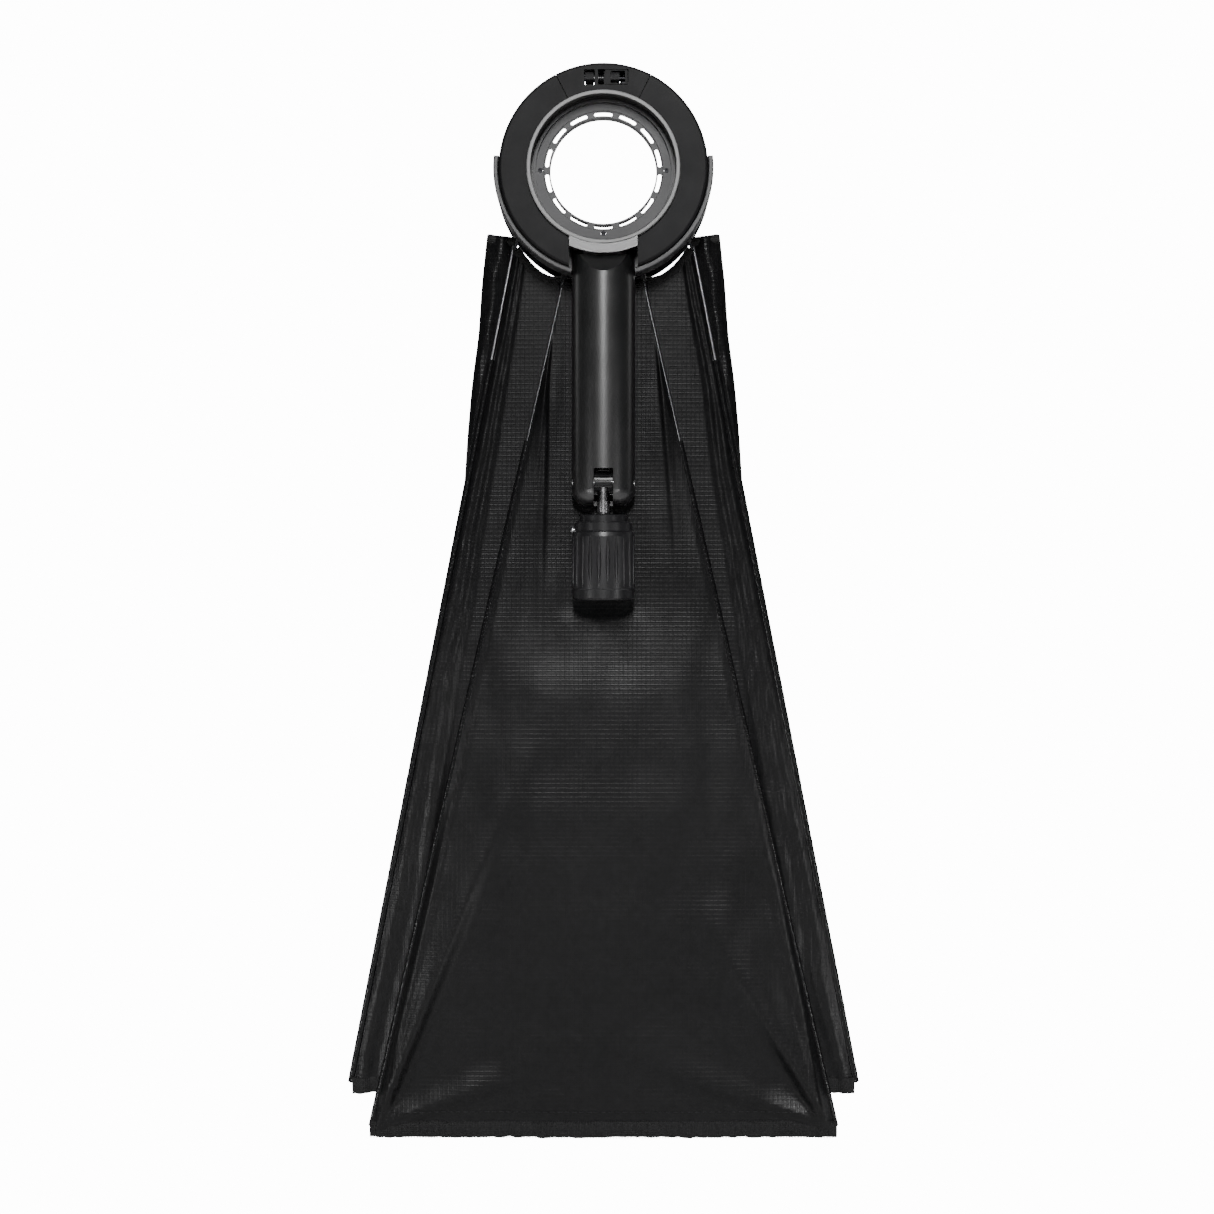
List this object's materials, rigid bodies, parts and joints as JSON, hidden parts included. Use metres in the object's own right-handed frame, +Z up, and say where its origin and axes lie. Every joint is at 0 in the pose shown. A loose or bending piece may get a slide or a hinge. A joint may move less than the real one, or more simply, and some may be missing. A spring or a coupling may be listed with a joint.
{
  "type": "collapsible softbox snoot",
  "caption": "Collapsible octagonal fabric snoot on a quick-release ring, folded flat, with a hand grip and a tilting stand receiver",
  "frame": {"origin": "centre of the light socket, on the seat that the light's flange rests on", "axes": "-Y is the way the light leaves the socket; +Z is up, along the grip; +X is to the right seen from the light's side"},
  "size_m": [0.284, 0.0669, 0.5912],
  "materials": {
    "ring_dark": "fine textured black",
    "rim_grey": "pebbled light grey",
    "flange_grey": "satin grey",
    "grip_black": "pebbled satin black",
    "cradle_black": "satin",
    "knob_black": "satin",
    "steel": "bright",
    "dark_steel": "blackened",
    "screw_steel": "bright",
    "hub_metal": "satin black",
    "rib_steel": "satin spring steel",
    "cloth_black": "satin black ripstop nylon"
  },
  "bodies": {
    "housing": {"ring_housing": "rim_grey", "ring_cover": "ring_dark", "latch_cover": "ring_dark", "vent_flange": "flange_grey", "socket_seat": "flange_grey", "flange_screws": "dark_steel", "hub_screws": "screw_steel", "catch_shaft": "dark_steel", "catch_spring": "dark_steel", "grip_front": "grip_black", "grip_rear": "grip_black", "grip_screws": "screw_steel", "cradle": "cradle_black", "tilt_pin": "steel", "detent_spring": "steel", "hub_lower": "hub_metal", "hub_fold_pins": "steel", "rib_pins_lower": "steel"},
    "button": {"release_button": "cradle_black"},
    "catch": {"catch_lever": "cradle_black"},
    "pawl": {"detent_pawl": "steel"},
    "receiver": {"ratchet_drum": "knob_black", "stem": "steel", "receiver_collar": "knob_black", "receiver_core": "hub_metal"},
    "sleeve": {"lock_sleeve": "knob_black", "sleeve_pin": "screw_steel"},
    "bottom_frame": {"rib_bottom_left": "rib_steel", "rib_bottom_right": "rib_steel", "knuckle_bottom_left": "hub_metal", "knuckle_bottom_right": "hub_metal", "panel_bottom": "cloth_black"},
    "top_frame": {"rib_top_left": "rib_steel", "rib_top_right": "rib_steel", "knuckle_top_left": "hub_metal", "knuckle_top_right": "hub_metal", "panel_top": "cloth_black"},
    "upper_hub": {"hub_upper": "hub_metal", "rib_pins_upper": "steel"},
    "low_left": {"rib_low_left": "rib_steel", "knuckle_low_left": "hub_metal", "panel_low_left": "cloth_black"},
    "low_right": {"rib_low_right": "rib_steel", "knuckle_low_right": "hub_metal", "panel_low_right": "cloth_black"},
    "high_left": {"rib_high_left": "rib_steel", "knuckle_high_left": "hub_metal", "panel_high_left": "cloth_black"},
    "high_right": {"rib_high_right": "rib_steel", "knuckle_high_right": "hub_metal", "panel_high_right": "cloth_black"},
    "flap_left": {"panel_side_left": "cloth_black"},
    "flap_right": {"panel_side_right": "cloth_black"}
  },
  "joints": [
    {"name": "hub_fold", "type": "hinge", "parent": "housing", "child": "upper_hub", "pos_m": [0, 0.0299, 0], "axis": [1, 0, 0], "range_deg": [0, 180]},
    {"name": "bottom_fold", "type": "hinge", "parent": "housing", "child": "bottom_frame", "pos_m": [0, 0.02, -0.04619], "axis": [1, 0, 0], "range_deg": [0, 56.75], "deforming": ["panel_bottom"]},
    {"name": "top_fold", "type": "hinge", "parent": "upper_hub", "child": "top_frame", "pos_m": [0, 0.0398, -0.04619], "axis": [1, 0, 0], "range_deg": [-56.75, 0], "deforming": ["panel_top"]},
    {"name": "low_right_fold", "type": "hinge", "parent": "housing", "child": "low_right", "pos_m": [0.04619, 0.0248, -0.01913], "axis": [0.7438, -0.596, 0.3026], "range_deg": [0, 72.39], "deforming": ["panel_low_right"]},
    {"name": "flap_right_fold", "type": "hinge", "parent": "low_right", "child": "flap_right", "pos_m": [0.04619, 0.0248, -0.01913], "axis": [0.1908, 0, -0.9816], "range_deg": [0, 143.29], "deforming": ["panel_side_right"]},
    {"name": "high_right_fold", "type": "hinge", "parent": "upper_hub", "child": "high_right", "pos_m": [0.04619, 0.035, -0.01913], "axis": [-0.7406, -0.6051, -0.2923], "range_deg": [0, 73.11], "deforming": ["panel_high_right"]},
    {"name": "low_left_fold", "type": "hinge", "parent": "housing", "child": "low_left", "pos_m": [-0.04619, 0.0248, -0.01913], "axis": [0.7438, 0.596, -0.3026], "range_deg": [0, 72.39], "deforming": ["panel_low_left"]},
    {"name": "flap_left_fold", "type": "hinge", "parent": "low_left", "child": "flap_left", "pos_m": [-0.04619, 0.0248, -0.01913], "axis": [0.1908, 0, 0.9816], "range_deg": [0, 143.29], "deforming": ["panel_side_left"]},
    {"name": "high_left_fold", "type": "hinge", "parent": "upper_hub", "child": "high_left", "pos_m": [-0.04619, 0.035, -0.01913], "axis": [-0.7406, 0.6051, 0.2923], "range_deg": [0, 73.11], "deforming": ["panel_high_left"]},
    {"name": "receiver_tilt", "type": "hinge", "parent": "housing", "child": "receiver", "pos_m": [0, 0.003, -0.172], "axis": [1, 0, 0], "range_deg": [-90, 0]},
    {"name": "sleeve_turn", "type": "hinge", "parent": "receiver", "child": "sleeve", "pos_m": [0, -0.0004, -0.215], "axis": [0, 0, 1], "range_deg": [0, 90]},
    {"name": "button_slide", "type": "slide", "parent": "housing", "child": "button", "axis": [-1, 0, 0], "range_m": [0, 0.0028], "stiffness_N_per_m": 300, "springref_m": -0.001},
    {"name": "catch_turn", "type": "hinge", "parent": "housing", "child": "catch", "pos_m": [0, -0.002, 0.0496], "axis": [1, 0, 0], "range_deg": [0, 5], "deforming": ["catch_spring"]},
    {"name": "pawl_slide", "type": "slide", "parent": "housing", "child": "pawl", "axis": [0, 0, 1], "range_m": [0, 0.0009], "stiffness_N_per_m": 400, "springref_m": -0.001, "deforming": ["detent_spring"]}
  ],
  "couplings": [
    {"joint": "bottom_fold", "follows": "hub_fold", "ratio": 0.3152},
    {"joint": "top_fold", "follows": "hub_fold", "ratio": -0.3152},
    {"joint": "low_right_fold", "follows": "hub_fold", "ratio": 0.40209},
    {"joint": "flap_right_fold", "follows": "hub_fold", "ratio": 0.79597},
    {"joint": "high_right_fold", "follows": "hub_fold", "ratio": 0.4061},
    {"joint": "low_left_fold", "follows": "hub_fold", "ratio": 0.40209},
    {"joint": "flap_left_fold", "follows": "hub_fold", "ratio": 0.79597},
    {"joint": "high_left_fold", "follows": "hub_fold", "ratio": 0.4061},
    {"joint": "catch_turn", "follows": "button_slide", "rad_per_m": 30.543}
  ]
}
